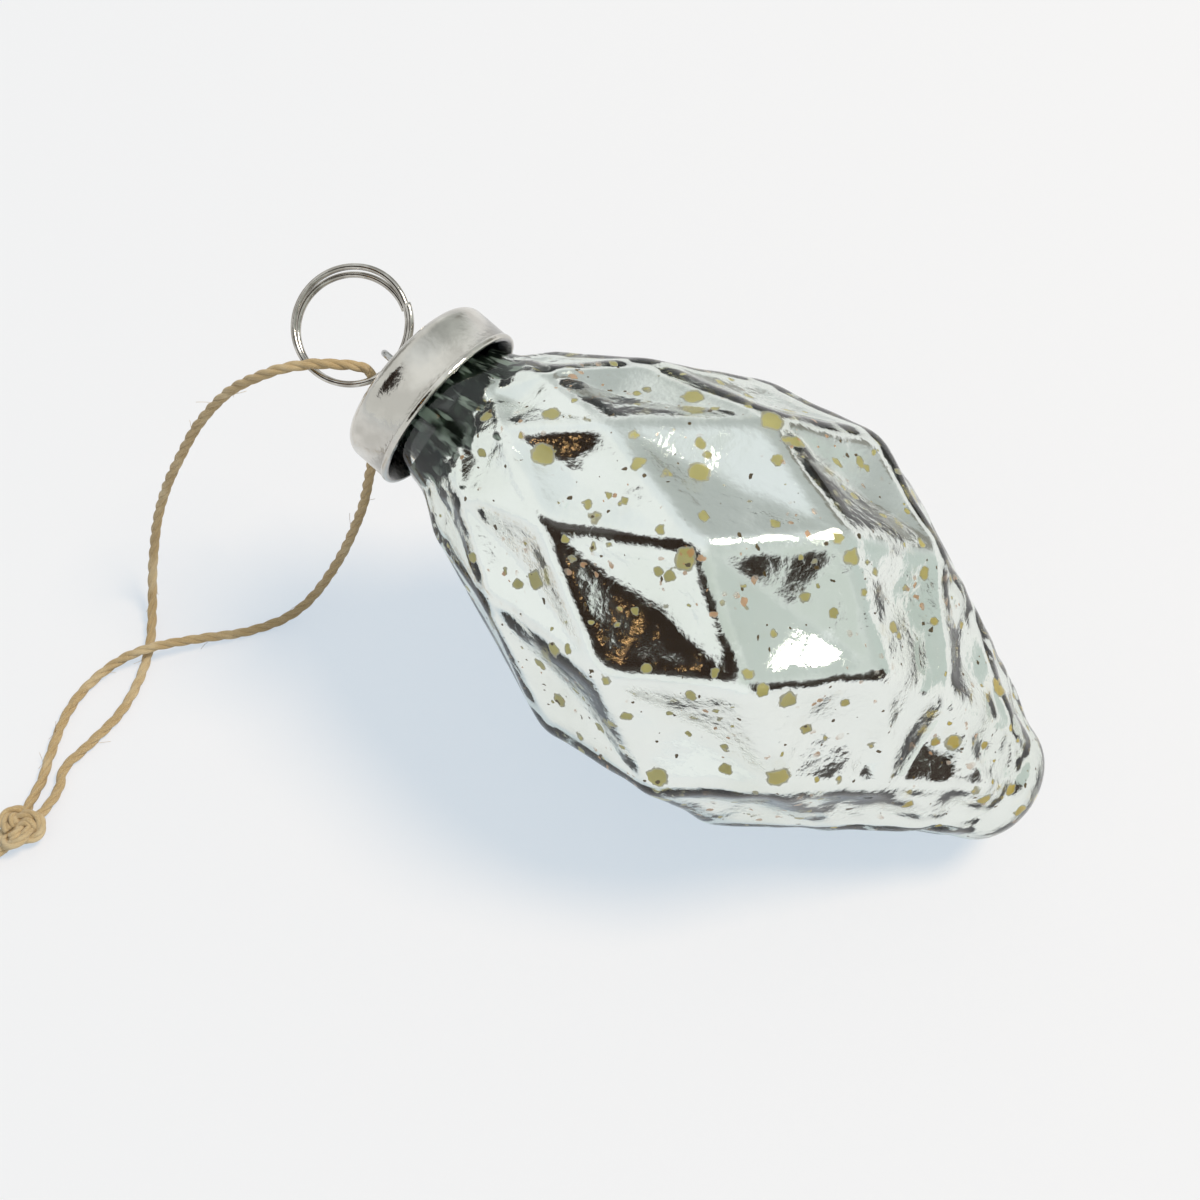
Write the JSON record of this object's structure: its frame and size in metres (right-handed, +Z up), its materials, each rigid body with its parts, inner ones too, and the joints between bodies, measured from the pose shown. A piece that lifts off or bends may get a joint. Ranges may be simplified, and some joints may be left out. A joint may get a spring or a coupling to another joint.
{
  "type": "hanging ornament",
  "caption": "Silvered blown glass drop with a diamond relief, capped in metal, with a wire hanger, split ring and knotted twine loop for hanging it from a branch or hook.",
  "frame": {"origin": "on the table, under the middle of the ornament's bounding box with the twine left out", "axes": "+X from the cap towards the drop's tip along the table, +Z up from the table"},
  "size_m": [0.1334, 0.1016, 0.0576],
  "materials": {
    "glass_body": "clear blown glass, silvered inside, with aged spots",
    "cap": "satin nickel-plated sheet, slightly mottled",
    "hanger_wire": "drawn spring wire",
    "split_ring": "polished steel wire",
    "cord_loop": "twisted hemp twine",
    "cord_knot": "twisted hemp twine, knotted",
    "cord_tail_left": "twisted hemp twine, cut end",
    "cord_tail_right": "twisted hemp twine, cut end"
  },
  "bodies": {
    "glass": {"glass_body": "glass_body"},
    "hanger": {"hanger_wire": "hanger_wire", "cord_loop": "cord_loop", "cord_knot": "cord_knot", "cord_tail_left": "cord_tail_left", "cord_tail_right": "cord_tail_right"},
    "cap": {"cap": "cap"},
    "ring": {"split_ring": "split_ring"}
  },
  "joints": [
    {"name": "hanger_pull", "type": "slide", "parent": "glass", "child": "hanger", "axis": [-0.914, 0, 0.4057], "range_m": [0, 0.016]},
    {"name": "cap_turn", "type": "hinge", "parent": "hanger", "child": "cap", "pos_m": [-0.03714, 0.00155, 0.04663], "axis": [-0.9401, 0.2153, 0.2645], "continuous": true},
    {"name": "ring_swing", "type": "hinge", "parent": "hanger", "child": "ring", "pos_m": [-0.03902, 0.00198, 0.04716], "axis": [0.3098, 0.8633, 0.3984], "range_deg": [-80, 80], "deforming": ["cord_loop"]}
  ]
}
